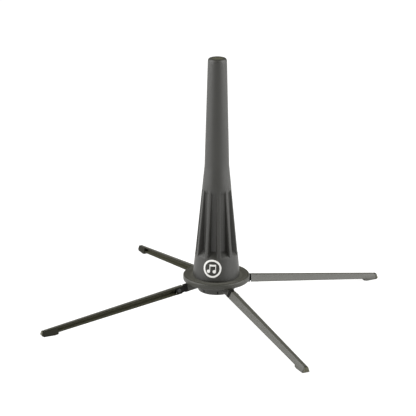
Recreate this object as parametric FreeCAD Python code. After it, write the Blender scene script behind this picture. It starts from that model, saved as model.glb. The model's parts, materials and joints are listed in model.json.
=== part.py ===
"""In-bell trumpet stand: a hollow tapered peg on a dished flange, and four hinged legs.

Frame: millimetres, +Z up, origin on the peg's axis at the level that the feet stand on.
The right leg lies along +X, the back leg along +Y, the left leg along -X, the front leg along -Y.

A leg is drawn in its own frame: x runs outward along the leg from the hinge pin, v across it
(anticlockwise seen from above), w up, square to both. place_leg_piece puts it in the part's frame.
"""
import FreeCAD, Part
import math
import os

V = FreeCAD.Vector

# Peg
peg_top_z = 262.8           # overall height of the stand
skirt_bottom_z = 35.4
skirt_r = 24.2
flare_top_z = 152.0         # the slim taper above meets the flare below
flare_top_r = 12.5
tip_r = 9.5
tip_round_r = 2.0
peg_wall = 1.9
rib_count = 10
rib_thickness = 3.5
pocket_top_z = 127.4
pocket_foot_z = 58.6        # where the sloping foot of a pocket meets the skirt
pocket_floor_end_z = 64.5   # where the sloping foot meets the pocket's floor
cap_seat_narrowing = 1.7    # the peg's inside stays this much further in at the cap's seat

# Round badge let into the skirt
badge_angle = 233.0
badge_z = 49.0
badge_r = 9.5
badge_recess = 0.3
badge_proud = 0.15

# Cap that closes the peg's upper end
cap_r = 6.5
cap_seat_r = 6.8
cap_seat_depth = 2.0
cap_sink = 0.6
cap_round_r = 0.3
cap_plug_r = 5.6
cap_plug_wall = 1.2
cap_plug_z = 254.0

# Flange
flange_bottom_z = 30.1
flange_r = 34.15
flange_floor_z = 34.3
flange_lip_z = 35.9
flange_lip_r = 32.4
flange_lip_round_r = 1.5
flange_foot_round_r = 1.0
flange_dish_r = 26.5        # the dish's floor turns up to the lip here
flange_seat_r = 23.3
spigot_r = 21.2
spigot_wall = 1.6
spigot_top_z = 39.4

# Hub and its cover
hub_r = 18.9
hub_bottom_z = 18.9
hub_round_r = 1.0
hub_wall = 3.3
hub_web_z = 27.6            # underside of the web that carries the screws
hub_slot_turn = 22.0        # slots in the hub's lower rim, this far to each side of an arm
hub_slot_width = 1.4
hub_slot_top_z = 22.6
cover_recess_r = 16.9
cover_recess_depth = 2.0
cover_gap = 0.15
cover_sink = 0.3
cover_ring_r = 15.4
cover_ring_wall = 1.3
cover_ring_z = 24.5
cover_coin_slot = (9.0, 1.6, 0.8)   # length, width, depth

# Three screws that hold peg, flange and hub together
screw_count = 3
screw_circle_r = 12.0
screw_first_angle = 45.0
screw_r = 1.6
screw_hole_r = 1.75
screw_head_r = 2.8
screw_head_height = 2.2
screw_top_z = 50.0
screw_recess = (0.5, 1.1)   # half width and depth of the cross recess
post_r = 3.4
post_top_z = 70.0

# Legs: height and half widths of the section at the hinge, wider below than above
leg_slope = math.atan(0.148)
leg_height = 7.2
leg_top_half = 2.25
leg_web_foot = 5.15         # the closed, sloping face ends this far out on the clockwise side
leg_lip = 3.5               # the bottom wall reaches this far out on the open side
leg_taper = 0.00166         # loss of section per millimetre of length
leg_wall = 1.1
leg_web_wall = 1.25
tip_reach_r = 193.4         # from the peg's axis to the tip of a foot
leg_end_x = 149.0
leg_end_slant = 1.6         # the leg's upper corner ends this much short of its lower one
leg_inner_x = -4.9

# Hinge
pin_reach_r = 43.5          # from the peg's axis to the pin
pin_z = 25.0
pin_w = 0.125               # the pin's level in the section
pin_r = 1.25
pin_head_r = 2.1
pin_head_thickness = 0.7
pin_tail_v = -2.65
running_gap = 0.05
tongue_v = (-0.9, 2.46)
tongue_top_w = 2.475        # the leg's top wall rests here, which stops the leg
tongue_low_w = -3.3
tongue_nose_r = 2.3
tongue_sweep_r = 3.85       # the leg's bottom wall swings round the tongue outside this radius
boss_face_v = -1.0
boss_r = 2.3
washer_thickness = 0.35
washer_r = 3.3
arm_end_x = -9.6
arm_root_end_x = -6.3       # the tongue's thick root ends here, clear of the leg's corners
arm_root_inset = 0.15
arm_inner_x = -28.5
lip_start_x = 3.2           # the bottom wall stops short of the hinge, which lets the leg fold

# Foot
foot_start_x = 134.0
foot_flat = (138.0, 149.6)  # the stretch that stands level on the ground
foot_side = 0.5
foot_heel_drop = 1.6
foot_depth = 8.0            # reaches below the ground before the outline cuts it
foot_toe_round_r = 1.2
foot_toe_slant = 1.8
foot_toe_height = 1.3       # the tip's furthest point is this high above the ground

leg_angles = {"right": 0.0, "back": 90.0, "left": 180.0, "front": 270.0}


def polygon_face(points):
    """A flat face from a closed outline of vectors."""
    return Part.Face(Part.makePolygon(points + [points[0]]))


def turned(outline):
    """A solid of revolution about Z from an outline of (radius, height) corners."""
    face = polygon_face([V(r, 0, z) for r, z in outline])
    return face.revolve(V(0, 0, 0), V(0, 0, 1), 360)


def tube(outer_r, inner_r, z0, z1):
    """An upright ring."""
    outer = Part.makeCylinder(outer_r, z1 - z0, V(0, 0, z0))
    inner = Part.makeCylinder(inner_r, z1 - z0, V(0, 0, z0))
    return outer.cut(inner)


def round_rim(shape, radius, rim_r, rim_z):
    """Rounds the circular edges of one radius at one height."""
    edges = []
    for edge in shape.Edges:
        box = edge.BoundBox
        at_height = abs(box.ZMin - rim_z) < 0.01 and abs(box.ZMax - rim_z) < 0.01
        if at_height and abs(box.XMax - rim_r) < 0.05:
            edges.append(edge)
    return shape.makeFillet(radius, edges)


def outer_radius(z):
    """The peg's outside, ribs and skirt included."""
    if z >= flare_top_z:
        return core_radius(z)
    share = (flare_top_z - z) / (flare_top_z - skirt_bottom_z)
    return flare_top_r + share * (skirt_r - flare_top_r)


def core_radius(z):
    """The slim taper, which the pockets' floors carry on down to the skirt."""
    share = (peg_top_z - z) / (peg_top_z - flare_top_z)
    return tip_r + share * (flare_top_r - tip_r)


def peg_outside():
    """The solid outline of the peg, with its pockets cut."""
    solid = turned([
        (0, skirt_bottom_z),
        (skirt_r, skirt_bottom_z),
        (flare_top_r, flare_top_z),
        (tip_r, peg_top_z),
        (0, peg_top_z),
    ])
    solid = round_rim(solid, tip_round_r, tip_r, peg_top_z)
    reach = skirt_r + 3
    ring = turned([
        (core_radius(pocket_top_z), pocket_top_z),
        (reach, pocket_top_z),
        (reach, pocket_foot_z - 2),
        (outer_radius(pocket_foot_z), pocket_foot_z),
        (core_radius(pocket_floor_end_z), pocket_floor_end_z),
    ])
    height = pocket_top_z - pocket_foot_z + 6
    for index in range(rib_count // 2):
        rib = Part.makeBox(2 * reach + 2, rib_thickness, height,
                           V(-reach - 1, -rib_thickness / 2, pocket_foot_z - 4))
        rib.rotate(V(0, 0, 0), V(0, 0, 1), badge_angle + (index + 0.5) * 360 / rib_count)
        ring = ring.cut(rib)
    return solid.cut(ring)


def peg_inside():
    """The space inside the peg, open at both ends."""
    mouth_r = skirt_r - peg_wall
    knee_z = pocket_foot_z - 1
    return turned([
        (0, skirt_bottom_z - 1),
        (mouth_r, skirt_bottom_z - 1),
        (mouth_r, skirt_bottom_z),
        (outer_radius(knee_z) - peg_wall, knee_z),
        (core_radius(pocket_floor_end_z) - peg_wall, pocket_floor_end_z),
        (tip_r - peg_wall - cap_seat_narrowing, peg_top_z - cap_seat_depth),
        (cap_seat_r, peg_top_z - cap_seat_depth),
        (cap_seat_r, peg_top_z + 1),
        (0, peg_top_z + 1),
    ])


def badge_disc(inner_offset, outer_offset):
    """A round patch that follows the skirt, between two offsets from its surface."""
    low = badge_z - badge_r - 2
    high = badge_z + badge_r + 2
    shell = turned([
        (outer_radius(low) + inner_offset, low),
        (outer_radius(low) + outer_offset, low),
        (outer_radius(high) + outer_offset, high),
        (outer_radius(high) + inner_offset, high),
    ])
    angle = math.radians(badge_angle)
    outward = V(math.cos(angle), math.sin(angle), 0)
    punch = Part.makeCylinder(badge_r, skirt_r + 5, V(0, 0, badge_z), outward)
    return shell.common(punch)


def around_screws(make):
    """One copy of a solid for each screw, on the screw circle."""
    copies = []
    for index in range(screw_count):
        angle = math.radians(screw_first_angle + index * 360 / screw_count)
        centre = V(screw_circle_r * math.cos(angle), screw_circle_r * math.sin(angle), 0)
        copies.append(make(centre))
    return copies


def upright(radius, z0, z1):
    """A function that makes an upright cylinder at a given centre."""
    return lambda centre: Part.makeCylinder(radius, z1 - z0, centre + V(0, 0, z0))


def peg_shell():
    """The hollow peg, with posts inside for the screws."""
    outside = peg_outside()
    shell = outside.cut(peg_inside())
    for post in around_screws(upright(post_r, skirt_bottom_z, post_top_z)):
        shell = shell.fuse(post.common(outside))
    for pilot in around_screws(upright(screw_r, skirt_bottom_z - 1, screw_top_z + 2)):
        shell = shell.cut(pilot)
    shell = shell.cut(badge_disc(-badge_recess, badge_proud + 1))
    return shell.removeSplitter()


def peg_cap():
    """The sunk disc in the peg's upper end, on a hollow plug."""
    seat_z = peg_top_z - cap_seat_depth
    disc = Part.makeCylinder(cap_r, cap_seat_depth - cap_sink, V(0, 0, seat_z))
    disc = round_rim(disc, cap_round_r, cap_r, peg_top_z - cap_sink)
    plug = tube(cap_plug_r, cap_plug_r - cap_plug_wall, cap_plug_z, seat_z)
    return disc.fuse(plug).removeSplitter()


def peg_badge():
    """The plain round badge."""
    return badge_disc(-badge_recess, badge_proud)


def base_flange():
    """The dished disc that the peg stands on."""
    disc = turned([
        (0, flange_bottom_z),
        (flange_r, flange_bottom_z),
        (flange_r, flange_lip_z),
        (flange_lip_r, flange_lip_z),
        (flange_dish_r, flange_floor_z),
        (flange_seat_r, flange_floor_z),
        (flange_seat_r, skirt_bottom_z),
        (0, skirt_bottom_z),
    ])
    disc = round_rim(disc, flange_lip_round_r, flange_r, flange_lip_z)
    disc = round_rim(disc, flange_foot_round_r, flange_r, flange_bottom_z)
    disc = disc.fuse(tube(spigot_r, spigot_r - spigot_wall, skirt_bottom_z, spigot_top_z))
    for hole in around_screws(upright(screw_hole_r, flange_bottom_z - 1, skirt_bottom_z + 1)):
        disc = disc.cut(hole)
    return disc.removeSplitter()


def section(points, x, scale):
    """A closed outline of (v, w) corners, scaled, square to the leg at x."""
    corners = [V(x, v * scale, w * scale) for v, w in points]
    return Part.makePolygon(corners + [corners[0]])


def taper_at(x):
    """How large the leg's section is at x, against the section at the hinge."""
    return 1 - leg_taper * x


def bar(points, x0, x1, tapered=True):
    """A straight bar along the leg, shrinking with the leg's taper or not at all."""
    ends = [section(points, x, taper_at(x) if tapered else 1.0) for x in (x0, x1)]
    return Part.makeLoft(ends, True, True)


def web_v(w):
    """How far out the closed face lies at level w, before the taper."""
    share = (leg_height / 2 - w) / leg_height
    return -leg_top_half - share * (leg_web_foot - leg_top_half)


def leg_outline():
    """The section of a leg from outside: narrow above, wide below."""
    half = leg_height / 2
    return [(-leg_top_half, half), (leg_top_half, half), (leg_lip, -half), (-leg_web_foot, -half)]


def channel_outline():
    """The hollow in a leg, open on the anticlockwise side."""
    high = leg_height / 2 - leg_wall
    reach = leg_lip + 5
    return [
        (web_v(high) + leg_web_wall, high),
        (reach, high),
        (reach, -high),
        (web_v(-high) + leg_web_wall, -high),
    ]


def hinge_outline():
    """The hollow round the hinge, open on the anticlockwise side and below."""
    low = -leg_height / 2 - 3
    reach = leg_lip + 5
    return [
        (web_v(tongue_top_w) + leg_web_wall, tongue_top_w),
        (reach, tongue_top_w),
        (reach, low),
        (web_v(low) + leg_web_wall, low),
    ]


def across(radius, v0, v1):
    """A cylinder on the pin's axis."""
    return Part.makeCylinder(radius, v1 - v0, V(0, v0, pin_w), V(0, 1, 0))


def end_offcut():
    """What the slanted cut takes off the leg's outer end."""
    half = leg_height / 2 * taper_at(leg_end_x)
    reach = leg_end_x + 5
    face = polygon_face([
        V(leg_end_x - leg_end_slant, -20, half),
        V(reach, -20, half + 1),
        V(reach, -20, -half - 1),
        V(leg_end_x, -20, -half),
    ])
    return face.extrude(V(0, 40, 0))


def leg_channel():
    """The leg: a tapering channel with a blind boss for the pin, cut off at a slant."""
    leg = bar(leg_outline(), leg_inner_x, leg_end_x)
    leg = leg.cut(bar(channel_outline(), 0, leg_end_x + 1))
    leg = leg.cut(end_offcut())
    leg = leg.cut(bar(hinge_outline(), leg_inner_x - 1, lip_start_x, tapered=False))
    boss = across(boss_r, pin_tail_v, boss_face_v)
    leg = leg.fuse(boss.common(bar(leg_outline(), leg_inner_x, leg_end_x)))
    leg = leg.cut(across(pin_r, pin_tail_v, boss_face_v + 1))
    return leg.removeSplitter()


def hinge_pin():
    """The headed pin, pressed into the leg's boss."""
    head_v = tongue_v[1] + washer_thickness
    head = across(pin_head_r, head_v, head_v + pin_head_thickness)
    return across(pin_r, pin_tail_v, head_v).fuse(head).removeSplitter()


def hinge_washer():
    """The washer under the pin's head."""
    v0 = tongue_v[1]
    v1 = v0 + washer_thickness
    return across(washer_r, v0, v1).cut(across(pin_r + running_gap, v0, v1))


def foot():
    """The plug in the leg's outer end, with the pad below it and the block beyond it."""
    tip_x = (tip_reach_r - pin_reach_r) / math.cos(leg_slope)
    half = leg_height / 2
    deep = half + foot_depth
    wide = [
        (-leg_top_half, half),
        (leg_top_half, half),
        (leg_lip + foot_side, -half),
        (leg_lip + foot_side, -deep),
        (-leg_web_foot, -deep),
        (-leg_web_foot, -half),
    ]
    block = bar(wide, foot_start_x, tip_x)
    block = block.common(foot_side_view(tip_x))
    walls = bar(leg_outline(), leg_inner_x, leg_end_x)
    walls = walls.cut(bar(channel_outline(), 0, leg_end_x + 1)).cut(end_offcut())
    return block.cut(walls).removeSplitter()


def foot_side_view(tip_x):
    """The foot's outline from the side, as a solid wide enough to cut the foot with."""
    def ground(x):
        """The level of the ground in the leg's frame."""
        return (x * math.sin(leg_slope) - pin_z) / math.cos(leg_slope) + pin_w
    top = leg_height / 2 * taper_at(foot_start_x) + 1
    heel = -leg_height / 2 * taper_at(foot_start_x)
    toe_w = leg_height / 2 * taper_at(tip_x)
    nose_w = ground(tip_x) + foot_toe_height
    outline = [
        (foot_start_x, top),
        (tip_x - foot_toe_slant - foot_toe_round_r, top),
        (tip_x - foot_toe_slant - foot_toe_round_r, toe_w),
        (tip_x - foot_toe_slant, toe_w - foot_toe_round_r),
        (tip_x, nose_w),
        (foot_flat[1], ground(foot_flat[1])),
        (foot_flat[0], ground(foot_flat[0])),
        (foot_start_x + 1.0, heel - foot_heel_drop),
        (foot_start_x, heel),
    ]
    face = polygon_face([V(x, -20, w) for x, w in outline])
    return face.extrude(V(0, 40, 0))


def place_leg_piece(shape, angle):
    """Moves a piece from the leg's frame to its place under one arm."""
    placed = shape.copy()
    placed.translate(V(0, 0, -pin_w))
    placed.rotate(V(0, 0, 0), V(0, 1, 0), math.degrees(leg_slope))
    placed.translate(V(pin_reach_r, 0, pin_z))
    placed.rotate(V(0, 0, 0), V(0, 0, 1), angle)
    return placed


def tongue_block(x0, x1, w0, w1):
    """A box as thick as the tongue."""
    return Part.makeBox(x1 - x0, tongue_v[1] - tongue_v[0], w1 - w0, V(x0, tongue_v[0], w0))


def tongue():
    """The tongue that a leg hinges on: round above the pin, deep below it."""
    root = tongue_block(arm_end_x - 1, 0, tongue_low_w, tongue_top_w)
    nose = across(tongue_nose_r, tongue_v[0], tongue_v[1])
    chin = tongue_block(0, tongue_nose_r, tongue_low_w, pin_w)
    chin = chin.common(across(tongue_sweep_r, tongue_v[0], tongue_v[1]))
    return root.fuse(nose).fuse(chin)


def root_outline():
    """The section of the tongue's root: the arm's section, set in all round."""
    half = leg_height / 2 - arm_root_inset
    return [
        (web_v(half) + arm_root_inset, half),
        (leg_top_half - arm_root_inset, half),
        (leg_lip - arm_root_inset, -half),
        (web_v(-half) + arm_root_inset, -half),
    ]


def arm():
    """An arm of the hub, in the leg's frame."""
    body = bar(leg_outline(), arm_inner_x, arm_end_x, tapered=False)
    root = bar(root_outline(), arm_end_x - 1, arm_root_end_x, tapered=False)
    solid = body.fuse(root).fuse(tongue())
    return solid.cut(across(pin_r + running_gap, tongue_v[0] - 1, tongue_v[1] + 1))


def rim_slot(angle):
    """A slot through the hub's lower rim, which lets the cover be prised out."""
    slot = Part.makeBox(hub_r, hub_slot_width, hub_slot_top_z - hub_bottom_z + 1,
                        V(hub_r - hub_wall - 1, -hub_slot_width / 2, hub_bottom_z - 1))
    slot.rotate(V(0, 0, 0), V(0, 0, 1), angle)
    return slot


def hub_body():
    """The hub: a cup upside down, with four arms."""
    hub = Part.makeCylinder(hub_r, flange_bottom_z - hub_bottom_z, V(0, 0, hub_bottom_z))
    hub = round_rim(hub, hub_round_r, hub_r, hub_bottom_z)
    for angle in leg_angles.values():
        hub = hub.fuse(place_leg_piece(arm(), angle))
    above = Part.makeBox(120, 120, 20, V(-60, -60, flange_bottom_z))
    hub = hub.cut(above)
    hub = hub.cut(Part.makeCylinder(hub_r - hub_wall, hub_web_z - hub_bottom_z, V(0, 0, hub_bottom_z)))
    hub = hub.cut(Part.makeCylinder(cover_recess_r, cover_recess_depth, V(0, 0, hub_bottom_z)))
    for hole in around_screws(upright(screw_hole_r, hub_web_z - 1, flange_bottom_z + 1)):
        hub = hub.cut(hole)
    for angle in leg_angles.values():
        for turn in (-hub_slot_turn, hub_slot_turn):
            hub = hub.cut(rim_slot(angle + turn))
    return hub.removeSplitter()


def hub_cover():
    """The disc that closes the hub from below, on a snap ring, with a slot to prise it out."""
    z0 = hub_bottom_z + cover_sink
    z1 = hub_bottom_z + cover_recess_depth
    disc = Part.makeCylinder(cover_recess_r - cover_gap, z1 - z0, V(0, 0, z0))
    ring = tube(cover_ring_r, cover_ring_r - cover_ring_wall, z1, cover_ring_z)
    length, width, depth = cover_coin_slot
    slot = Part.makeBox(length, width, depth, V(-length / 2, -width / 2, z0))
    return disc.fuse(ring).cut(slot).removeSplitter()


def peg_screw(centre):
    """One screw, head down, with a cross recess."""
    head_z = hub_web_z - screw_head_height
    shank = Part.makeCylinder(screw_r, screw_top_z - hub_web_z, centre + V(0, 0, hub_web_z))
    screw = Part.makeCylinder(screw_head_r, screw_head_height, centre + V(0, 0, head_z)).fuse(shank)
    half, depth = screw_recess
    for long_x, long_y in ((screw_head_r * 0.6, half), (half, screw_head_r * 0.6)):
        screw = screw.cut(Part.makeBox(2 * long_x, 2 * long_y, depth,
                                       centre + V(-long_x, -long_y, head_z)))
    return screw.removeSplitter()


def all_nodes():
    """Every sub-part of the stand, by name."""
    nodes = {
        "peg_shell": peg_shell(),
        "peg_cap": peg_cap(),
        "peg_badge": peg_badge(),
        "base_flange": base_flange(),
        "hub_body": hub_body(),
        "hub_cover": hub_cover(),
        "peg_screws": Part.makeCompound(around_screws(peg_screw)),
    }
    leg_pieces = {
        "leg": leg_channel(),
        "hinge_pin": hinge_pin(),
        "hinge_washer": hinge_washer(),
        "foot": foot(),
    }
    for side, angle in leg_angles.items():
        for name, shape in leg_pieces.items():
            nodes[name + "_" + side] = place_leg_piece(shape, angle)
    return nodes


def main():
    """Writes one STEP file for each sub-part."""
    os.makedirs("parts", exist_ok=True)
    for name, shape in all_nodes().items():
        box = shape.BoundBox
        print(name, "solids", len(shape.Solids), "valid", shape.isValid(),
              "volume", round(shape.Volume, 1), "z", round(box.ZMin, 2), round(box.ZMax, 2))
        shape.exportStep("parts/" + name + ".step")


main()
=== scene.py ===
import json
import math

import bmesh
import bpy
from mathutils import Matrix, Vector


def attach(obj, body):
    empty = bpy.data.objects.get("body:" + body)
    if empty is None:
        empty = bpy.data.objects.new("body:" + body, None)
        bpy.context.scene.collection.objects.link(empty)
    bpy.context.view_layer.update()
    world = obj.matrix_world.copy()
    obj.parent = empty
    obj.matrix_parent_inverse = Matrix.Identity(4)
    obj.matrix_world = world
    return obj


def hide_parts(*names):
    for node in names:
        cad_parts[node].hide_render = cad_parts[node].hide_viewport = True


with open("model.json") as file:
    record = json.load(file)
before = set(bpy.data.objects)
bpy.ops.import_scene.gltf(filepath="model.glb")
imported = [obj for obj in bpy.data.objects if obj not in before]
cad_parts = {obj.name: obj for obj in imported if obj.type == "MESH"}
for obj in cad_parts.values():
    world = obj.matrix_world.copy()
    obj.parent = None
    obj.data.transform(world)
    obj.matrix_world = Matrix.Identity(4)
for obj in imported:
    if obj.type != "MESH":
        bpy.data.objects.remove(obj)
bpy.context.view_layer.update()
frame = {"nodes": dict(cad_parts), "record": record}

MM = 0.001
TINY = 0.001 * MM
WELD = 0.002 * MM
SHARP = 1.2                 # radians; a foot's edges that turn further than this are rounded
UP = Vector((0, 0, 1))

# Peg, in millimetres
SKIRT_BOTTOM = 35.4
SKIRT_R = 24.2
FLARE_TOP = 152.0
FLARE_TOP_R = 12.5
TIP = 262.8
TIP_R = 9.5
TIP_ROUND = 2.6
PEG_WALL = 1.9
RIB_COUNT = 10
RIB_HALF = 1.75             # half a rib's thickness
RIB_ROUND = 0.55
POCKET_TOP = 129.0
POCKET_TOP_FLOOR = 124.0
POCKET_FOOT = 58.6
POCKET_FLOOR_END = 64.5
POCKET_FLOOR_STEPS = 3
PLAIN_FROM = 170.0          # the peg is plain and round from here up
COLUMNS_EVEN_OUT = (140.0, 156.0)   # between these heights the columns spread evenly again

# Cap and its seat in the peg's tip
CAP_SEAT_R = 6.8
CAP_SEAT = 260.8
CAP_SEAT_NARROWING = 1.7
CAP_R = 6.5
CAP_FACE = 262.2
CAP_PLUG_R, CAP_PLUG_HOLLOW_R = 5.6, 4.4
CAP_PLUG_END = 254.0

# Badge: heights of its faces are measured from the skirt
BADGE_TURN = 233.0
BADGE_HEIGHT = 49.0
BADGE_R = 9.5
BADGE_BACK = -0.25
BADGE_FACE = 0.05
PRINT_FACE = 0.13
PRINT_EDGE = 0.04
RING_R, RING_INNER_R = 9.4, 7.5
NOTE_HEADS = (-3.9, 2.1)
NOTE_HEAD_R = 1.75
NOTE_HEAD_Y = -2.9
NOTE_STEM = (1.05, 1.75)    # a stem's two sides, from its note head's middle
NOTE_STEM_TOP = 3.2
NOTE_BEAM = (2.5, 4.3)

# Flange
FLANGE_BOTTOM = 30.1
FLANGE_RECESS = 30.5
FLANGE_R = 34.15
FLANGE_LIP = 35.9
FLANGE_LIP_R = 32.3
DISH_FLOOR = 34.3
DISH_R = 27.0
SKIRT_SEAT_R = 23.3

# Hub
HUB_R = 18.9
HUB_INNER_R = 15.6
HUB_BOTTOM = 18.9
HUB_WALL_R = 16.9
HUB_SLOT_TURN = 22.0
HUB_SLOT_HALF = 0.7
HUB_SLOT_TOP = 22.6
COVER_R = 16.75
COVER_TOP = 20.9
COVER_SINK = 0.3
COVER_RING_R, COVER_RING_INNER_R = 15.4, 14.1
COVER_RING_TOP = 24.5

# Legs, in a leg's own frame: x out along the leg from the pin, v across, w up
SIDES = {"right": 0.0, "back": 90.0, "left": 180.0, "front": 270.0}
PIN = next(joint["pos_m"] for joint in frame["record"]["behaviour"]["joints"]
           if joint["name"] == "right_leg_fold")
LEG_FALL = math.atan(0.148)
LEG_HALF = 3.6              # half the section's height at the pin
LEG_TOP_HALF = 2.25         # half the top wall's width
LEG_FOOT = 5.15             # the closed face ends this far out at the bottom
LEG_LIP = 3.5               # the bottom wall reaches this far out on the open side
LEG_TAPER = 0.00166         # loss of section per millimetre of length
LEG_WALL = 1.1
WEB_WALL = 1.25
PANEL_MARGIN, PANEL_DEPTH = 0.75, 0.07
LEG_INNER = -4.9
LIP_START = 3.2             # the bottom wall stops short of the hinge, which lets the leg fold
LEG_END = 149.0
LEG_END_SLANT = 1.6
PIN_W = 0.125
PIN_R = 1.25
PIN_HEAD_R = 2.1
PIN_HEAD = 0.7
PIN_TAIL = -2.6
BOSS_R = 2.3
BOSS_FACE = -1.0
TONGUE_LOW, TONGUE_TOP = -3.3, 2.475
TONGUE_CLOSED, TONGUE_OPEN = -0.9, 2.46
TONGUE_NOSE = 2.3
WASHER = 0.35
WASHER_R = 3.3
WASHER_GAP = 0.02
ARM_INNER, ARM_END = -28.5, -9.6
ROOT_END = -6.3
ROOT_INSET = 0.05           # the tongue's root is this much smaller than the arm
FOOT_START = 134.0
PANEL_END = FOOT_START - 2
FOOT_FLAT = (138.0, 149.6)  # the stretch that stands level on the ground
TIP_X = 151.53
LEG_END_SHADE_LINE = (LEG_END - 0.3, LEG_END + 0.4)   # the painted shade line where the leg ends on its foot

# Camera: where it stands, seen from the peg's axis, and the point it looks at
CAMERA_TURN = -26.15
CAMERA_RISE = 18.18
CAMERA_AWAY = 1.786
AIM_RIGHT = -0.0088
AIM_UP = 0.1066
CAMERA_ROLL = 0.2
PICTURE_ANGLE = 13.50

# Light: the softboxes stand to each side of the camera
SOFTBOX_TURN = 80
SOFTBOX_RISE = 25
SOFTBOX_AWAY = 1.5
SOFTBOX_SIZE = 2.0
SOFTBOX_POWER = 50
WORLD_COLOUR = (1, 0.97, 0.80, 1)
WORLD_STRENGTH = 0.3
FLOOR_HALF = 30.0


# ---------------------------------------------------------------- shader sockets

class Socket:
    """One output of a shader node, which can be added, multiplied and so on."""

    def __init__(self, maker, output):
        self.maker = maker
        self.output = output

    def math(self, operation, other):
        return self.maker.node("ShaderNodeMath", {"operation": operation}, {0: self, 1: other})

    def __add__(self, other):
        return self.math("ADD", other)

    def __radd__(self, other):
        return self.math("ADD", other)

    def __sub__(self, other):
        return self.math("SUBTRACT", other)

    def __mul__(self, other):
        return self.math("MULTIPLY", other)


class Maker:
    """Builds one material's nodes."""

    def __init__(self, name):
        self.material = bpy.data.materials.new(name)
        self.material.use_nodes = True
        self.tree = self.material.node_tree
        self.tree.nodes.clear()

    def node(self, kind, settings=None, inputs=None, output=0):
        made = self.tree.nodes.new(kind)
        for name, value in (settings or {}).items():
            if name == "stops":
                set_stops(made.color_ramp, value)
            else:
                setattr(made, name, value)
        for name, value in (inputs or {}).items():
            if isinstance(value, Socket):
                self.tree.links.new(value.output, made.inputs[name])
            else:
                made.inputs[name].default_value = value
        return Socket(self, made.outputs[output])

    def place(self):
        return self.node("ShaderNodeTexCoord", output="Object")

    def noise(self, scale, detail=2.0, rough=0.5):
        return self.node("ShaderNodeTexNoise", None,
                         {"Vector": self.place(), "Scale": scale, "Detail": detail,
                          "Roughness": rough})

    def ramp(self, value, stops):
        return self.node("ShaderNodeValToRGB", {"stops": stops}, {"Fac": value})

    def blend(self, share, first, second):
        return self.node("ShaderNodeMix", {"data_type": "RGBA"},
                         {0: share, 6: first, 7: second}, output=2)

    def bump(self, height, strength, distance, below=None):
        inputs = {"Height": height, "Strength": strength, "Distance": distance}
        if below:
            inputs["Normal"] = below
        return self.node("ShaderNodeBump", None, inputs)

    def edge(self, radius):
        """How sharply the surface turns here, from 0 on a flat to 1 on an edge."""
        bevel = self.node("ShaderNodeBevel", {"samples": 4}, {"Radius": radius})
        flat = self.node("ShaderNodeNewGeometry", output="Normal")
        facing = self.node("ShaderNodeVectorMath", {"operation": "DOT_PRODUCT"},
                           {0: bevel, 1: flat}, output=1)
        return self.node("ShaderNodeMapRange", None,
                         {"Value": facing, "From Min": 1.0, "From Max": 0.8,
                          "To Min": 0.0, "To Max": 1.0})

    def finish(self, **inputs):
        names = {key.replace("_", " "): value for key, value in inputs.items()}
        shader = self.node("ShaderNodeBsdfPrincipled", None, names)
        made = self.tree.nodes.new("ShaderNodeOutputMaterial")
        self.tree.links.new(shader.output, made.inputs["Surface"])
        return self.material


def set_stops(ramp, stops):
    while len(ramp.elements) < len(stops):
        ramp.elements.new(1.0)
    for element, (position, colour) in zip(ramp.elements, stops):
        element.position = position
        element.color = colour


def grey(value, warm=0.0):
    """A near-neutral colour; warm above 0 leans it to olive."""
    return (value * (1 + 0.15 * warm), value * (1 + 0.12 * warm), value * (1 - 0.5 * warm), 1.0)


# ---------------------------------------------------------------- materials

def moulded(name, base, warm, rough, grain, gloss=0.5):
    """Satin moulded plastic: fine spark-eroded grain, faint clouding and handling marks."""
    m = Maker(name)
    cloud = m.noise(22.0, 3.0)
    fine = m.noise(2600.0, 2.0)
    colour = m.blend(cloud, grey(base * 0.85, warm), grey(base * 1.15, warm))
    roughness = rough + (cloud - 0.5) * 0.10 + (fine - 0.5) * 0.12
    normal = m.bump(fine, grain, 0.00012)
    return m.finish(Base_Color=colour, Roughness=roughness, Normal=normal, Specular_IOR_Level=gloss)


def coated(name, base, warm, rough, bare=0.2):
    """Powder coat: a soft orange-peel skin, with a little metal worn bare on sharp edges."""
    m = Maker(name)
    cloud = m.noise(30.0, 3.0)
    peel = m.noise(900.0, 2.0)
    fine = m.noise(3200.0, 1.0)
    patches = m.ramp(m.noise(240.0, 4.0, 0.7), [(0.5, grey(0)), (0.8, grey(1))])
    worn = (m.edge(0.0004) * patches) * 0.4
    paint = m.blend(cloud, grey(base * 0.88, warm), grey(base * 1.12, warm))
    colour = m.blend(worn, paint, grey(bare))
    roughness = rough + (cloud - 0.5) * 0.08 - worn * 0.1
    normal = m.bump(peel, 0.25, 0.0002, m.bump(fine, 0.2, 0.0001))
    return m.finish(Base_Color=colour, Roughness=roughness, Metallic=worn * 0.9, Normal=normal)


MATERIALS = {
    "peg_plastic": moulded("charcoal moulding", 0.024, 0.15, 0.42, 0.5, 0.45),
    "cap_plastic": moulded("brown-grey moulding", 0.055, 0.60, 0.55, 0.5, 0.3),
    "badge_print": moulded("light print", 0.62, 0.03, 0.45, 0.2),
    "base_plastic": moulded("charcoal base moulding", 0.030, 0.30, 0.45, 0.5, 0.4),
    "hub_metal": coated("hub powder coat", 0.022, 0.35, 0.45),
    "leg_steel": coated("leg powder coat", 0.046, 0.25, 0.42),
    "pin_steel": coated("blackened steel", 0.008, 0.2, 0.45, 0.08),
    "screw_steel": coated("plated steel", 0.35, 0.0, 0.3),
    "foot_rubber": moulded("olive black rubber", 0.040, 0.9, 0.55, 0.7),
}
BADGE_GROUND = moulded("badge ground", 0.022, 0.2, 0.45, 0.3, 0.3)
# Near-black painted shade for the legs' open side, the wall strips at the hinge and the feet's open
# side.
OPEN_SIDE_PAINTED_SHADE = moulded("open side painted shade", 0.013, 0.6, 0.65, 0.4, 0.12)
CHANNEL_INSIDE = moulded("channel inside", 0.055, 0.6, 0.6, 0.4, 0.4)
# Lighter, warmer colour for the dish's upward faces: painted light from the warm overhead light.
DISH_TOP_PAINTED_LIGHT = moulded("dish floor painted light", 0.078, 0.22, 0.5, 0.6, 0.5)
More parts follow.
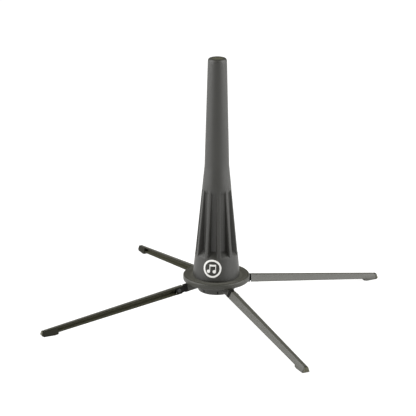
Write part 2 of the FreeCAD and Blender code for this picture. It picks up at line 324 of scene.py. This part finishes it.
# Near-black painted shade for the hinge gaps and hub slots: the tongues, friction washers and slot
# blocks.
GAP_PAINTED_SHADE = moulded("hinge gap painted shade", 0.006, 0.2, 0.6, 0.3, 0.12)


def dress(piece, *materials):
    if len(piece.data.materials):
        piece.data.materials.clear()
    for material in materials:
        piece.data.materials.append(material)


for part in frame["record"]["subparts"]:
    dress(frame["nodes"][part["node"]], MATERIALS[part["material_slot"]])


# ---------------------------------------------------------------- modelling

def rounded(corners, steps=4):
    """A closed outline from (a, b, radius) corners, with an arc wherever the radius isn't 0."""
    points = []
    for index, (a, b, radius) in enumerate(corners):
        corner = Vector((a, b))
        if radius == 0:
            points.append(corner)
            continue
        before = (Vector(corners[index - 1][:2]) - corner).normalized()
        after = (Vector(corners[(index + 1) % len(corners)][:2]) - corner).normalized()
        half = before.angle(after) / 2
        centre = corner + (before + after).normalized() * (radius / math.sin(half))
        start = corner + before * (radius / math.tan(half)) - centre
        end = corner + after * (radius / math.tan(half)) - centre
        for step in range(steps + 1):
            points.append(centre + start.slerp(end, step / steps).normalized() * radius)
    return points


def chain(mesh, points, closed=True):
    """Vertices joined by edges, one after the other."""
    verts = [mesh.verts.new(point) for point in points]
    pairs = list(zip(verts, verts[1:]))
    if closed:
        pairs.append((verts[-1], verts[0]))
    return verts, [mesh.edges.new(pair) for pair in pairs]


def lathe(mesh, outline, steps, closed=True):
    """Spins an outline of (radius, height) points, in millimetres, about the upright axis."""
    verts, edges = chain(mesh, [Vector((r * MM, 0, z * MM)) for r, z in outline], closed)
    bmesh.ops.spin(mesh, geom=verts + edges, cent=(0, 0, 0), axis=UP, dvec=(0, 0, 0),
                   angle=math.tau, steps=steps, use_merge=True, use_duplicate=False)


def cut(mesh, point, normal, clear_outer=False):
    """Cuts a mesh along a plane, and may drop what lies beyond it."""
    bmesh.ops.bisect_plane(mesh, geom=mesh.verts[:] + mesh.edges[:] + mesh.faces[:], dist=TINY,
                           plane_co=point, plane_no=normal, clear_outer=clear_outer)


def cut_across(mesh, x):
    """Adds an edge loop at x."""
    cut(mesh, (x * MM, 0, 0), (1, 0, 0))


def extrude(mesh, faces, vec):
    """Extrudes faces and gives back the vertices of the new end."""
    made = bmesh.ops.extrude_face_region(mesh, geom=faces)["geom"]
    verts = [item for item in made if isinstance(item, bmesh.types.BMVert)]
    bmesh.ops.translate(mesh, verts=verts, vec=vec)
    return verts


def soften(mesh, edges, radius, segments, clamp=False):
    """Rounds edges."""
    bmesh.ops.bevel(mesh, geom=edges, offset=radius * MM, segments=segments, profile=0.5,
                    affect="EDGES", clamp_overlap=clamp, material=-1)


def pour(source, target):
    """Adds one mesh to another and frees it."""
    bmesh.ops.remove_doubles(source, verts=source.verts, dist=WELD)
    data = bpy.data.meshes.new("pour")
    source.to_mesh(data)
    source.free()
    target.from_mesh(data)
    bpy.data.meshes.remove(data)


def tidy(mesh):
    """Closes poles and seams and turns every face outwards."""
    bmesh.ops.remove_doubles(mesh, verts=mesh.verts, dist=WELD)
    bmesh.ops.dissolve_degenerate(mesh, dist=TINY, edges=mesh.edges)
    bmesh.ops.recalc_face_normals(mesh, faces=mesh.faces)


def new_object(name, data):
    made = bpy.data.objects.new(name, data)
    bpy.context.scene.collection.objects.link(made)
    return made


def make_piece(name, mesh, slot_name, body, nodes, materials=None, smooth_to=35.0):
    """Turns a mesh into a piece that rides on a body and stands for CAD nodes."""
    tidy(mesh)
    data = bpy.data.meshes.new(name)
    mesh.to_mesh(data)
    mesh.free()
    data.shade_smooth()
    data.set_sharp_from_angle(angle=math.radians(smooth_to))
    piece = new_object(name, data)
    dress(piece, *(materials or [MATERIALS[slot_name]]))
    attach(piece, body)
    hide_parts(*nodes)


# ---------------------------------------------------------------- peg

def outer_radius(z):
    """The peg's outside, ribs and skirt included."""
    if z >= FLARE_TOP:
        return core_radius(z)
    return SKIRT_R + (z - SKIRT_BOTTOM) / (FLARE_TOP - SKIRT_BOTTOM) * (FLARE_TOP_R - SKIRT_R)


def core_radius(z):
    """The slim taper, which the pockets' floors carry on down to the skirt."""
    return TIP_R + (TIP - z) / (TIP - FLARE_TOP) * (FLARE_TOP_R - TIP_R)


def ease(share):
    """A smooth step from 0 to 1."""
    share = min(max(share, 0.0), 1.0)
    return share * share * (3 - 2 * share)


def pocket_depth(z):
    """How deep the pockets are at this height: a flat sloping foot below, a soft run-out above."""
    full = outer_radius(z) - core_radius(z)
    foot = (z - POCKET_FOOT) / (POCKET_FLOOR_END - POCKET_FOOT)
    top = ease((POCKET_TOP - z) / (POCKET_TOP - POCKET_TOP_FLOOR))
    return full * min(max(foot, 0.0), 1.0) * top


def rib_columns():
    """Columns of vertices from a rib's middle to its pocket's floor.

    Each is (distance from the rib's middle, where the rounding starts from, how far it drops).
    """
    columns = [(0.0, "crest", 0.0)]
    for step in range(4):
        turn = math.radians(step * 30)
        across = RIB_HALF - RIB_ROUND + RIB_ROUND * math.sin(turn)
        columns.append((across, "crest", RIB_ROUND * (1 - math.cos(turn))))
    for step in range(4):
        turn = math.radians(step * 30)
        across = RIB_HALF + 0.02 + RIB_ROUND * (1 - math.cos(turn))
        columns.append((across, "root", RIB_ROUND * (1 - math.sin(turn))))
    return columns


def column_place(columns, index, z):
    """The turn from the rib's middle, in radians, and the depth of one column at one height."""
    half_sector = math.pi / RIB_COUNT
    count = len(columns) - 1 + POCKET_FLOOR_STEPS
    mirrored = index > count
    if mirrored:
        index = 2 * count - index
    deep = pocket_depth(z)
    last = columns[-1][0]
    if index < len(columns):
        across, rule, drop = columns[index]
        depth = min(drop, deep) if rule == "crest" else max(deep - drop, min(RIB_ROUND, deep))
        turn = math.asin(across / max(outer_radius(z) - depth, across))
    else:
        depth = deep
        first = math.asin(last / (outer_radius(z) - depth))
        turn = first + (half_sector - first) * (index - len(columns) + 1) / POCKET_FLOOR_STEPS
    return (2 * half_sector - turn if mirrored else turn), depth


def peg_rows():
    """The heights of the peg's rows of vertices, close together where the pockets bend."""
    rows = [SKIRT_BOTTOM + 0.5, 42.0, 48.0, 54.0]
    rows += [POCKET_FOOT - 0.01, POCKET_FOOT + 0.01, 60.5, 62.5, POCKET_FLOOR_END]
    rows += [68.0 + 7.0 * step for step in range(8)]
    rows += [POCKET_TOP_FLOOR + (POCKET_TOP - POCKET_TOP_FLOOR) * step / 6 for step in range(7)]
    rows += [136.0, 144.0, 148.0, FLARE_TOP, 156.0]
    rows += [PLAIN_FROM + 22.0 * step for step in range(5)]
    return rows


def make_peg():
    columns = rib_columns()
    per_rib = 2 * (len(columns) - 1 + POCKET_FLOOR_STEPS)
    outside = [(outer_radius(z), z) for z in peg_rows()]
    knee = POCKET_FOOT - 1
    rim = rounded([
        (TIP_R, TIP - 4, 0),
        (TIP_R, TIP, TIP_ROUND),
        (CAP_SEAT_R, TIP, 0.3),
        (CAP_SEAT_R, CAP_SEAT, 0),
        (TIP_R - PEG_WALL - CAP_SEAT_NARROWING, CAP_SEAT, 0),
        (core_radius(POCKET_FLOOR_END) - PEG_WALL, POCKET_FLOOR_END, 0),
        (outer_radius(knee) - PEG_WALL, knee, 0),
        (SKIRT_R - PEG_WALL, SKIRT_BOTTOM, 0),
        (SKIRT_R, SKIRT_BOTTOM, 0.5),
    ])
    mesh = bmesh.new()
    lathe(mesh, outside + rim[1:], RIB_COUNT * per_rib)
    step = math.tau / (RIB_COUNT * per_rib)
    first_rib = math.radians(BADGE_TURN) + math.pi / RIB_COUNT
    for vert in mesh.verts:
        z = vert.co.z / MM
        radius = vert.co.xy.length / MM
        column = round(math.atan2(vert.co.y, vert.co.x) / step) % (RIB_COUNT * per_rib)
        rib, index = divmod(column, per_rib)
        turn = index * step
        if abs(radius - outer_radius(z)) < 0.02 and z < PLAIN_FROM:
            warped, depth = column_place(columns, index, z)
            low, high = COLUMNS_EVEN_OUT
            share = 1 - ease((z - low) / (high - low))
            turn += (warped - turn) * share
            radius -= depth
        turn += first_rib + rib * per_rib * step
        vert.co = Vector((math.cos(turn) * radius, math.sin(turn) * radius, z)) * MM
    make_piece("peg_fluted_shell", mesh, "peg_plastic", "base", ["peg_shell"], smooth_to=28.0)


def make_cap():
    mesh = bmesh.new()
    outline = rounded([
        (0, CAP_FACE, 0),
        (CAP_R, CAP_FACE, 0.3),
        (CAP_R, CAP_SEAT, 0),
        (CAP_PLUG_R, CAP_SEAT, 0),
        (CAP_PLUG_R, CAP_PLUG_END, 0.2),
        (CAP_PLUG_HOLLOW_R, CAP_PLUG_END, 0.2),
        (CAP_PLUG_HOLLOW_R, CAP_SEAT, 0),
        (0, CAP_SEAT, 0),
    ])
    lathe(mesh, outline, 64, closed=False)
    make_piece("peg_end_cap", mesh, "cap_plastic", "base", ["peg_cap"])


# ---------------------------------------------------------------- badge

def wrap_on_skirt(mesh):
    """Bends a flat badge piece, drawn in x to the right, y up and z out, round the skirt."""
    for x in range(-9, 10):
        cut_across(mesh, x)
    for vert in mesh.verts:
        across, up, out = vert.co / MM
        z = BADGE_HEIGHT + up
        turn = math.radians(BADGE_TURN) + across / outer_radius(z)
        radius = outer_radius(z) + out
        vert.co = Vector((math.cos(turn) * radius, math.sin(turn) * radius, z)) * MM


def disc(mesh, radius, back, front, edge, centre=(0, 0), steps=64):
    """A low round plate with a softened front edge."""
    outline = rounded([(0, front, 0), (radius, front, edge), (radius, back, 0), (0, back, 0)], 2)
    part = bmesh.new()
    lathe(part, outline, steps, closed=False)
    bmesh.ops.translate(part, verts=part.verts, vec=Vector((centre[0], centre[1], 0)) * MM)
    pour(part, mesh)


def plate(mesh, corners, back, front):
    """A flat plate of the given outline, in the badge's own drawing."""
    part = bmesh.new()
    verts, _ = chain(part, [Vector((a, b, back)) * MM for a, b in corners])
    extrude(part, [part.faces.new(verts)], Vector((0, 0, front - back)) * MM)
    pour(part, mesh)


def bar(mesh, left, right, low, high):
    """An upright or level bar of the badge's print."""
    plate(mesh, [(left, low), (right, low), (right, high), (left, high)], 0, PRINT_FACE)


def make_badge():
    ground = bmesh.new()
    disc(ground, BADGE_R, BADGE_BACK, BADGE_FACE, 0.05, steps=72)
    wrap_on_skirt(ground)
    make_piece("badge_disc", ground, "badge_print", "base", ["peg_badge"], [BADGE_GROUND])

    ring = bmesh.new()
    outline = rounded([
        (RING_R, 0, 0),
        (RING_R, PRINT_FACE, PRINT_EDGE),
        (RING_INNER_R, PRINT_FACE, PRINT_EDGE),
        (RING_INNER_R, 0, 0),
    ], 2)
    lathe(ring, outline, 96)
    wrap_on_skirt(ring)
    make_piece("badge_ring", ring, "badge_print", "base", ["peg_badge"])

    note = bmesh.new()
    left, right = NOTE_STEM
    for head in NOTE_HEADS:
        disc(note, NOTE_HEAD_R, 0, PRINT_FACE, PRINT_EDGE, (head, NOTE_HEAD_Y), 40)
        bar(note, head + left, head + right, NOTE_HEAD_Y, NOTE_STEM_TOP)
    bar(note, NOTE_HEADS[0] + left, NOTE_HEADS[1] + right, *NOTE_BEAM)
    wrap_on_skirt(note)
    make_piece("badge_note", note, "badge_print", "base", ["peg_badge"])


# ---------------------------------------------------------------- flange, hub and cover

def make_flange():
    mesh = bmesh.new()
    outline = rounded([
        (0, FLANGE_BOTTOM, 0),
        (HUB_R + 0.4, FLANGE_BOTTOM, 0),
        (HUB_R + 0.8, FLANGE_RECESS, 0),
        (FLANGE_R - 2.55, FLANGE_RECESS, 0.3),
        (FLANGE_R - 1.95, FLANGE_BOTTOM, 0.2),
        (FLANGE_R, FLANGE_BOTTOM, 1.0),
        (FLANGE_R, FLANGE_LIP, 1.5),
        (FLANGE_LIP_R, FLANGE_LIP, 1.0),
        (DISH_R, DISH_FLOOR + 0.05, 3.0),
        (SKIRT_SEAT_R, DISH_FLOOR, 0.25),
        (SKIRT_SEAT_R, SKIRT_BOTTOM, 0),
        (0, SKIRT_BOTTOM, 0),
    ], 5)
    lathe(mesh, outline, 128, closed=False)
    bmesh.ops.recalc_face_normals(mesh, faces=mesh.faces)
    # The dish floor's upward faces get the painted top light.
    for face in mesh.faces:
        reach = face.calc_center_median().xy.length / MM
        if face.normal.z > 0.9 and SKIRT_SEAT_R < reach < FLANGE_LIP_R - 0.3:
            face.material_index = 1
    make_piece("dished_flange", mesh, "base_plastic", "base", ["base_flange"],
               [MATERIALS["base_plastic"], DISH_TOP_PAINTED_LIGHT], smooth_to=50.0)


def make_hub():
    mesh = bmesh.new()
    outline = rounded([
        (HUB_R, FLANGE_BOTTOM, 0),
        (HUB_R, HUB_BOTTOM, 1.0),
        (HUB_WALL_R, HUB_BOTTOM, 0.3),
        (HUB_WALL_R, COVER_TOP, 0),
        (HUB_INNER_R, COVER_TOP, 0),
        (HUB_INNER_R, FLANGE_BOTTOM, 0),
    ])
    lathe(mesh, outline, 180)
    make_piece("hub_drum", mesh, "hub_metal", "base", ["hub_body"])


def make_hub_slot_shade():
    """Near-black blocks in the slots of the hub's lower rim: painted shade for the slots' shadow.
    """
    mesh = bmesh.new()
    high = HUB_SLOT_TOP - HUB_BOTTOM - 0.4
    for angle in SIDES.values():
        for side in (-HUB_SLOT_TURN, HUB_SLOT_TURN):
            part = bmesh.new()
            bmesh.ops.create_cube(part, size=1.0)
            bmesh.ops.scale(part, verts=part.verts, vec=Vector((0.8, 2 * HUB_SLOT_HALF, high)) * MM)
            bmesh.ops.translate(part, verts=part.verts,
                                vec=Vector((HUB_R - 0.35, 0, HUB_BOTTOM + 0.5 + high / 2)) * MM)
            soften(part, part.edges[:], 0.12, 2)
            bmesh.ops.rotate(part, verts=part.verts, cent=(0, 0, 0),
                             matrix=Matrix.Rotation(math.radians(angle + side), 3, "Z"))
            pour(part, mesh)
    make_piece("hub_slot_painted_shade", mesh, "hub_metal", "base", ["hub_body"], [GAP_PAINTED_SHADE])


def make_hub_cover():
    mesh = bmesh.new()
    face = HUB_BOTTOM + COVER_SINK
    outline = rounded([
        (0, COVER_TOP, 0),
        (COVER_RING_INNER_R, COVER_TOP, 0),
        (COVER_RING_INNER_R, COVER_RING_TOP, 0.3),
        (COVER_RING_R, COVER_RING_TOP, 0.3),
        (COVER_RING_R, COVER_TOP, 0),
        (COVER_R, COVER_TOP, 0),
        (COVER_R, face, 0.4),
        (13.0, face, 0.2),
        (12.6, face + 0.4, 0.2),
        (0, face + 0.4, 0),
    ])
    lathe(mesh, outline, 96, closed=False)
    make_piece("hub_bottom_cover", mesh, "base_plastic", "base", ["hub_cover"])


# ---------------------------------------------------------------- legs

def leg_place(side):
    """From a leg's own frame to its place under its arm."""
    reach, _, height = PIN
    return (Matrix.Rotation(math.radians(SIDES[side]), 4, "Z")
            @ Matrix.Translation((reach, 0, height))
            @ Matrix.Rotation(LEG_FALL, 4, "Y")
            @ Matrix.Translation((0, 0, -PIN_W * MM)))


def put(mesh, side):
    bmesh.ops.transform(mesh, matrix=leg_place(side), verts=mesh.verts)


def section(mesh, x, points):
    """Vertices of a section square to the leg, from (v, w) points in millimetres."""
    return [mesh.verts.new(Vector((x, v, w)) * MM) for v, w in points]


def draw_out(mesh, faces, length, scale=1.0):
    """Extrudes end faces along the leg and shrinks the new end with the leg's taper."""
    verts = extrude(mesh, faces, (length * MM, 0, 0))
    bmesh.ops.scale(mesh, verts=verts, vec=(1, scale, scale))


def web_v(w):
    """Where the closed face lies at level w, before the taper."""
    return -LEG_TOP_HALF - (LEG_HALF - w) / (2 * LEG_HALF) * (LEG_FOOT - LEG_TOP_HALF)


def lip_v(w):
    """Where the open side lies at level w, before the taper."""
    return LEG_TOP_HALF + (LEG_HALF - w) / (2 * LEG_HALF) * (LEG_LIP - LEG_TOP_HALF)


def taper(x):
    """How large the leg's section is at x, against the section at the pin."""
    return 1 - LEG_TAPER * x


def make_leg(side):
    mesh = bmesh.new()
    high = LEG_HALF - LEG_WALL
    inner_top = web_v(high) + WEB_WALL
    inner_foot = web_v(-high) + WEB_WALL
    bend = 0.55
    upper = rounded([
        (inner_foot, -LEG_HALF, 0),
        (-LEG_FOOT, -LEG_HALF, bend),
        (-LEG_TOP_HALF, LEG_HALF, bend),
        (LEG_TOP_HALF, LEG_HALF, 0.4),
        (lip_v(high), high, 0.2),
        (inner_top, high, 0),
        (inner_foot, -high, 0),
    ], 3)
    lower = rounded([
        (inner_foot, -high, 0),
        (lip_v(-high), -high, 0.2),
        (LEG_LIP, -LEG_HALF, 0.35),
        (inner_foot, -LEG_HALF, 0),
    ], 3)
    start = taper(LIP_START)
    upper_verts = section(mesh, LIP_START, [point * start for point in upper])
    shared = [upper_verts[-1], upper_verts[0]]
    lower_verts = section(mesh, LIP_START, [point * start for point in lower[1:-1]])
    upper_face = mesh.faces.new(upper_verts)
    lower_face = mesh.faces.new([shared[0]] + lower_verts + [shared[1]])
    draw_out(mesh, [upper_face, lower_face], LEG_END - LIP_START, taper(LEG_END) / start)
    upper_face = next(face for face in mesh.faces
                      if abs(face.calc_center_median().x / MM - LIP_START) < 0.01
                      and len(face.verts) == len(upper_verts))
    draw_out(mesh, [upper_face], LEG_INNER - LIP_START, taper(LEG_INNER) / start)
    if upper_face.is_valid:
        bmesh.ops.delete(mesh, geom=[upper_face], context="FACES_ONLY")
    slant_end(mesh)
    cut_across(mesh, PANEL_END)
    bmesh.ops.recalc_face_normals(mesh, faces=mesh.faces)
    press_panel(mesh)
    paint_open_side_shade(mesh)
    add_boss(mesh)
    add_wall_ends(mesh)
    put(mesh, side)
    make_piece("leg_channel_" + side, mesh, "leg_steel", side + "_leg", ["leg_" + side],
               [MATERIALS["leg_steel"], OPEN_SIDE_PAINTED_SHADE, CHANNEL_INSIDE])


def slant_end(mesh):
    """Leans the leg's outer end back towards the top."""
    half = LEG_HALF * taper(LEG_END)
    for vert in mesh.verts:
        if vert.co.x > (LEG_END - 1) * MM:
            vert.co.x -= LEG_END_SLANT * (vert.co.z + half * MM) / (2 * half)


def on_closed_side(face):
    """Whether a face looks the way that the leg's closed face looks."""
    outward = Vector((0, -2 * LEG_HALF, LEG_FOOT - LEG_TOP_HALF)).normalized()
    return face.normal.dot(outward) > 0.985


def press_panel(mesh):
    """Presses a shallow panel into the closed face as far as the foot."""
    panel = []
    for face in mesh.faces:
        middle = face.calc_center_median() / MM
        large = face.calc_area() > 4 * MM * MM
        if on_closed_side(face) and large and middle.y < -1.5 and middle.x < PANEL_END:
            panel.append(face)
    bmesh.ops.inset_region(mesh, faces=panel, thickness=PANEL_MARGIN * MM, depth=-PANEL_DEPTH * MM,
                           use_boundary=True, use_even_offset=True)


def paint_open_side_shade(mesh):
    """Paints shade on the open side: faces that face the open side get the near-black painted
    shade, and the inside of the channel gets its own material.
    """
    high = LEG_HALF - LEG_WALL
    for face in mesh.faces:
        x, v, w = face.calc_center_median() / MM
        size = taper(x)
        between_ends = LEG_INNER + 0.1 < x < LEG_END - 2
        if between_ends and web_v(w / size) + 0.9 < v / size and abs(w / size) < high + 0.05:
            face.material_index = 2
        elif face.normal.y > 0.6:
            face.material_index = 1


def add_boss(mesh):
    """The blind boss that holds the pin."""
    boss = across_lathe([
        (0, PIN_TAIL, 0),
        (BOSS_R, PIN_TAIL, 0),
        (BOSS_R, BOSS_FACE, 0.2),
        (0, BOSS_FACE, 0),
    ])
    pour(boss, mesh)


def add_wall_ends(mesh):
    """Runs the bottom wall on past the hinge, outside the washer and behind the tongue."""
    washer_side = TONGUE_OPEN + WASHER + 0.09
    tongue_side = TONGUE_CLOSED - 0.2
    low = -LEG_HALF
    outer_end = LIP_START + 0.4
    strips = [
        (-3.0, washer_side, LEG_LIP, -2.5),
        (2.2, washer_side, LEG_LIP, -0.5),
        (-1.0, -4.6, tongue_side, -3.1),
    ]
    for inner_end, left, right, top in strips:
        part = bmesh.new()
        right_top = lip_v(top) if right == LEG_LIP else right
        outline = [(left, low), (right, low), (right_top, top), (left, top)]
        face = part.faces.new(section(part, outer_end, outline))
        draw_out(part, [face], inner_end - outer_end)
        soften(part, part.edges[:], 0.08, 2)
        # The strips take the open side's painted shade.
        for face in part.faces:
            face.material_index = 1
        pour(part, mesh)


def across_lathe(corners, closed=False, steps=48):
    """A turned piece on the pin's axis, from (radius, v, rounding) corners."""
    part = bmesh.new()
    lathe(part, rounded(corners, 3), steps, closed)
    bmesh.ops.rotate(part, verts=part.verts, cent=(0, 0, 0),
                     matrix=Matrix.Rotation(math.radians(-90), 3, "X"))
    bmesh.ops.translate(part, verts=part.verts, vec=(0, 0, PIN_W * MM))
    return part


def make_pin(side):
    head = TONGUE_OPEN + WASHER
    mesh = across_lathe([
        (0, PIN_TAIL, 0),
        (PIN_R, PIN_TAIL, 0.2),
        (PIN_R, head, 0),
        (PIN_HEAD_R, head, 0.1),
        (PIN_HEAD_R, head + PIN_HEAD, 0.4),
        (0.8, head + PIN_HEAD, 0.1),
        (0.55, head + PIN_HEAD - 0.25, 0.1),
        (0, head + PIN_HEAD - 0.25, 0),
    ])
    put(mesh, side)
    make_piece("hinge_rivet_" + side, mesh, "pin_steel", side + "_leg", ["hinge_pin_" + side])


def make_washer(side):
    back, front = TONGUE_OPEN + WASHER_GAP, TONGUE_OPEN + WASHER
    mesh = across_lathe([
        (PIN_R + 0.05, back, 0),
        (WASHER_R, back, 0.1),
        (WASHER_R, front, 0.1),
        (PIN_R + 0.05, front, 0),
    ], closed=True)
    put(mesh, side)
    # Near-black like the tongue: painted shade in the hinge gap.
    make_piece("friction_washer_" + side, mesh, "pin_steel", side + "_leg",
               ["hinge_washer_" + side], [GAP_PAINTED_SHADE])


def make_arm(side):
    mesh = bmesh.new()
    outline = rounded([
        (-LEG_FOOT, -LEG_HALF, 0.6),
        (-LEG_TOP_HALF, LEG_HALF, 0.6),
        (LEG_TOP_HALF, LEG_HALF, 0.6),
        (LEG_LIP, -LEG_HALF, 0.6),
    ])
    face = mesh.faces.new(section(mesh, ARM_INNER, outline))
    draw_out(mesh, [face], ARM_END - ARM_INNER)
    soften_end(mesh, ARM_END, 0.3)
    put(mesh, side)
    cut(mesh, (0, 0, FLANGE_BOTTOM * MM), UP, clear_outer=True)
    bmesh.ops.holes_fill(mesh, edges=[edge for edge in mesh.edges if edge.is_boundary], sides=0)
    make_piece("hub_arm_" + side, mesh, "hub_metal", "base", ["hub_body"])


def soften_end(mesh, x, radius):
    """Rounds the edges that lie in the end at x."""
    rim = [edge for edge in mesh.edges
           if all(abs(vert.co.x - x * MM) < TINY for vert in edge.verts)]
    soften(mesh, rim, radius, 3)


def make_tongue(side):
    """The hinge tongue at an arm's end: round above the pin, deep below it."""
    steps = 10
    nose = []
    for step in range(steps + 1):
        turn = math.radians(90 - 90 * step / steps)
        nose.append((TONGUE_NOSE * math.cos(turn), PIN_W + TONGUE_NOSE * math.sin(turn)))
    outline = [(ARM_END - 1, TONGUE_LOW), (ARM_END - 1, TONGUE_TOP), (-0.4, TONGUE_TOP)] + nose
    outline += [(TONGUE_NOSE, -2.9), (1.6, TONGUE_LOW)]
    mesh = bmesh.new()
    face = mesh.faces.new([mesh.verts.new(Vector((x, TONGUE_CLOSED, w)) * MM) for x, w in outline])
    extrude(mesh, [face], (0, (TONGUE_OPEN - TONGUE_CLOSED) * MM, 0))
    pour(tongue_root(), mesh)
    put(mesh, side)
    # The tongue is dressed near-black: painted shade for the dark hinge gap.
    make_piece("hinge_tongue_" + side, mesh, "hub_metal", "base", ["hub_body"], [GAP_PAINTED_SHADE])


def tongue_root():
    """The thick root between the arm's end and the leg, a little smaller than the arm."""
    mesh = bmesh.new()
    half = LEG_HALF - ROOT_INSET
    outline = rounded([
        (web_v(-half) + ROOT_INSET, -half, 0.3),
        (web_v(half) + ROOT_INSET, half, 0.3),
        (LEG_TOP_HALF - ROOT_INSET, half, 0.3),
        (LEG_LIP - ROOT_INSET, -half, 0.3),
    ])
    face = mesh.faces.new(section(mesh, ARM_END - 1, outline))
    draw_out(mesh, [face], ROOT_END - ARM_END + 1)
    soften_end(mesh, ROOT_END, 0.2)
    return mesh


def ground(x):
    """The level of the ground in a leg's frame."""
    return (x * math.sin(LEG_FALL) - PIN[2] / MM) / math.cos(LEG_FALL) + PIN_W


def make_foot(side):
    """The end plug, with its pad below and its rounded toe beyond the leg."""
    mesh = bmesh.new()
    heel = -LEG_HALF * taper(FOOT_START)
    top = LEG_HALF * taper(TIP_X)
    high = LEG_HALF - LEG_WALL
    side_view = rounded([
        (FOOT_START + 1, high * taper(FOOT_START), 0.3),
        (TIP_X - 3.6, high * taper(TIP_X), 0),
        (TIP_X - 3.5, top, 0),
        (TIP_X - 1.5, top, 0.6),
        (TIP_X, ground(TIP_X) + 1.3, 0.9),
        (FOOT_FLAT[1], ground(FOOT_FLAT[1]), 0.8),
        (FOOT_FLAT[0], ground(FOOT_FLAT[0]), 1.0),
        (FOOT_START + 0.5, heel - 1.7, 0.5),
        (FOOT_START, heel, 0.1),
    ], 3)
    face = mesh.faces.new([mesh.verts.new(Vector((x, 0, w)) * MM) for x, w in side_view])
    extrude(mesh, [face], (0, MM, 0))
    for vert in mesh.verts:
        x, v, w = vert.co / MM
        size = taper(x)
        low = max(w / size, -LEG_HALF)
        open_side = lip_v(low) + 0.5 * (LEG_HALF - low) / (2 * LEG_HALF)
        vert.co.y = (open_side - 0.05 if v > 0.5 else web_v(low) + 0.02) * size * MM
    bmesh.ops.recalc_face_normals(mesh, faces=mesh.faces)
    rim = [edge for edge in mesh.edges
           if len(edge.link_faces) == 2 and edge.calc_face_angle() > SHARP]
    soften(mesh, rim, 0.25, 3, clamp=True)
    for x in LEG_END_SHADE_LINE:
        cut_across(mesh, x)
    # Apart from the closed side, the foot's faces under the leg, the strip where the leg ends and
    # faces towards the open side get painted shade.
    for face in mesh.faces:
        x = face.calc_center_median().x / MM
        if x < LEG_END_SHADE_LINE[0]:
            face.material_index = 1 if on_closed_side(face) else 2
        elif x < LEG_END_SHADE_LINE[1] or face.normal.y > 0.6:
            face.material_index = 2
    put(mesh, side)
    make_piece("foot_pad_" + side, mesh, "foot_rubber", side + "_leg", ["foot_" + side],
               [MATERIALS["foot_rubber"], MATERIALS["leg_steel"], OPEN_SIDE_PAINTED_SHADE], smooth_to=40.0)


# ---------------------------------------------------------------- floor, light and camera

def make_floor():
    mesh = bmesh.new()
    bmesh.ops.create_grid(mesh, x_segments=1, y_segments=1, size=FLOOR_HALF)
    data = bpy.data.meshes.new("floor")
    mesh.to_mesh(data)
    mesh.free()
    floor = new_object("floor", data)
    m = Maker("pale floor")
    data.materials.append(m.finish(Base_Color=(0.2, 0.2, 0.2, 1.0), Roughness=0.9,
                                   Emission_Color=(1, 1, 1, 1), Emission_Strength=0.9))


def make_light(name, turn):
    """A square softbox that looks at the peg; turn is measured as the camera's is."""
    data = bpy.data.lights.new(name, "AREA")
    data.size = SOFTBOX_SIZE
    data.energy = SOFTBOX_POWER
    point_at(new_object(name, data), turn, SOFTBOX_RISE, SOFTBOX_AWAY, Vector((0, 0, 0.1)))


def direction(turn, rise):
    """From the peg towards something that stands at this turn and rise."""
    turn, rise = math.radians(turn), math.radians(rise)
    level = math.cos(rise)
    return Vector((math.sin(turn) * level, -math.cos(turn) * level, math.sin(rise)))


def point_at(thing, turn, rise, away, aim):
    towards = direction(turn, rise)
    thing.location = aim + towards * away
    thing.rotation_euler = towards.to_track_quat("Z", "Y").to_euler()


def make_camera():
    data = bpy.data.cameras.new("camera")
    data.angle = math.radians(PICTURE_ANGLE)
    data.clip_end = 100.0
    camera = new_object("camera", data)
    turn = math.radians(CAMERA_TURN)
    aim = Vector((math.cos(turn), math.sin(turn), 0)) * AIM_RIGHT + Vector((0, 0, AIM_UP))
    point_at(camera, CAMERA_TURN, CAMERA_RISE, CAMERA_AWAY, aim)
    camera.rotation_euler.rotate_axis("Z", math.radians(CAMERA_ROLL))
    bpy.context.scene.camera = camera


def make_world():
    world = bpy.data.worlds.new("white surround")
    world.use_nodes = True
    background = world.node_tree.nodes["Background"]
    background.inputs["Color"].default_value = WORLD_COLOUR
    background.inputs["Strength"].default_value = WORLD_STRENGTH
    bpy.context.scene.world = world


make_peg()
make_cap()
make_badge()
make_flange()
make_hub()
make_hub_slot_shade()
make_hub_cover()
for leg_side in SIDES:
    make_arm(leg_side)
    make_tongue(leg_side)
    make_leg(leg_side)
    make_pin(leg_side)
    make_washer(leg_side)
    make_foot(leg_side)

make_floor()
make_world()
make_light("left softbox", CAMERA_TURN - SOFTBOX_TURN)
make_light("right softbox", CAMERA_TURN + SOFTBOX_TURN)
make_camera()
bpy.context.scene.view_settings.view_transform = "Standard"
